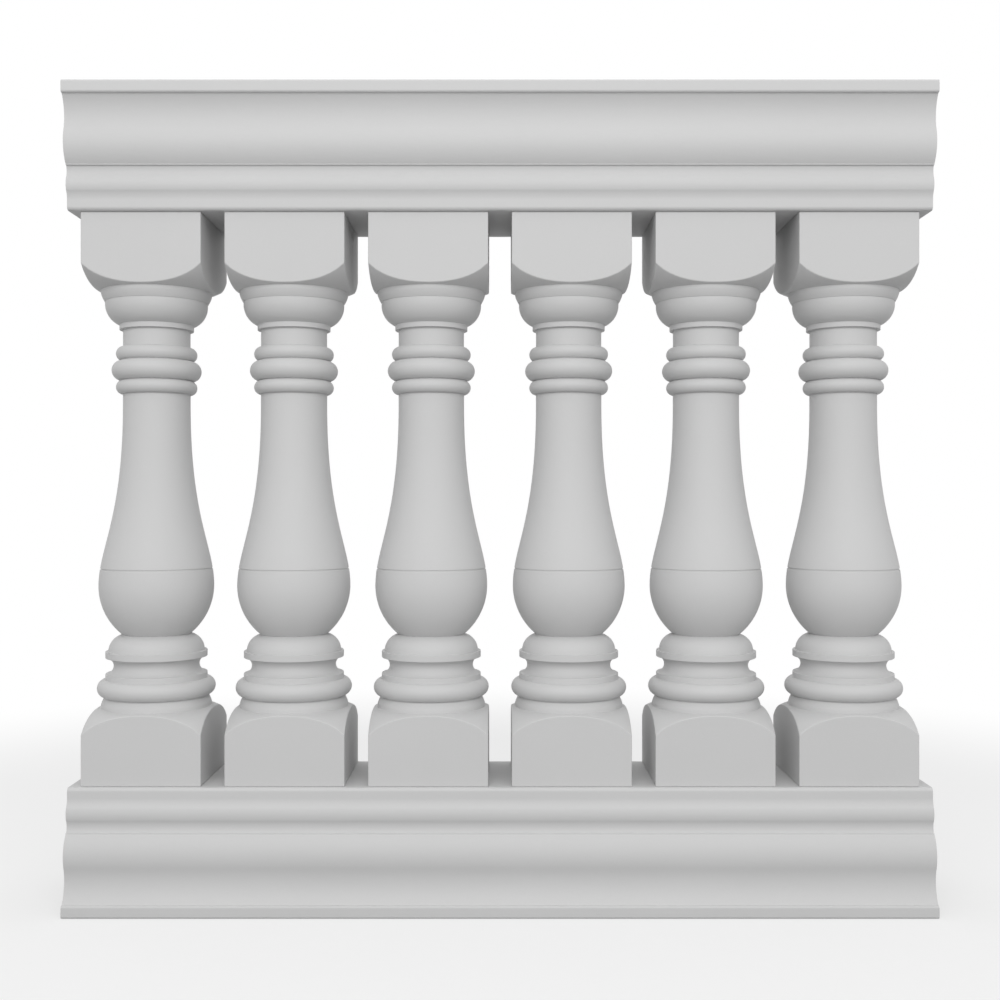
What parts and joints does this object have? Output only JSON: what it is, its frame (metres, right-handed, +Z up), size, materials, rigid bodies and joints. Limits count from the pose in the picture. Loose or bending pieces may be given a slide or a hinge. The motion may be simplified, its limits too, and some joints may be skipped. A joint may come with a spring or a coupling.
{
  "type": "fiberglass balustrade",
  "caption": "Moulded fiberglass balustrade: top and bottom rails joined by a row of turned vase balusters with square blocks, pinned to the rails with steel pipe.",
  "frame": {"origin": "middle of the bottom rail's underside, on the floor that the balustrade stands on", "axes": "+X along the rails, +Y through the depth of the balustrade, +Z up"},
  "size_m": [0.9144, 0.1778, 0.874],
  "materials": {
    "rail_gelcoat": "matte light grey gelcoat over glass laminate",
    "baluster_gelcoat": "matte light grey gelcoat over glass laminate",
    "pin_steel": "dull galvanised steel"
  },
  "bodies": {
    "root": {"bottom_rail": "rail_gelcoat", "top_rail": "rail_gelcoat", "baluster_1": "baluster_gelcoat", "baluster_2": "baluster_gelcoat", "baluster_3": "baluster_gelcoat", "baluster_4": "baluster_gelcoat", "baluster_5": "baluster_gelcoat", "baluster_6": "baluster_gelcoat", "lower_pin_1": "pin_steel", "lower_pin_2": "pin_steel", "lower_pin_3": "pin_steel", "lower_pin_4": "pin_steel", "lower_pin_5": "pin_steel", "lower_pin_6": "pin_steel", "upper_pin_1": "pin_steel", "upper_pin_2": "pin_steel", "upper_pin_3": "pin_steel", "upper_pin_4": "pin_steel", "upper_pin_5": "pin_steel", "upper_pin_6": "pin_steel"}
  },
  "joints": []
}
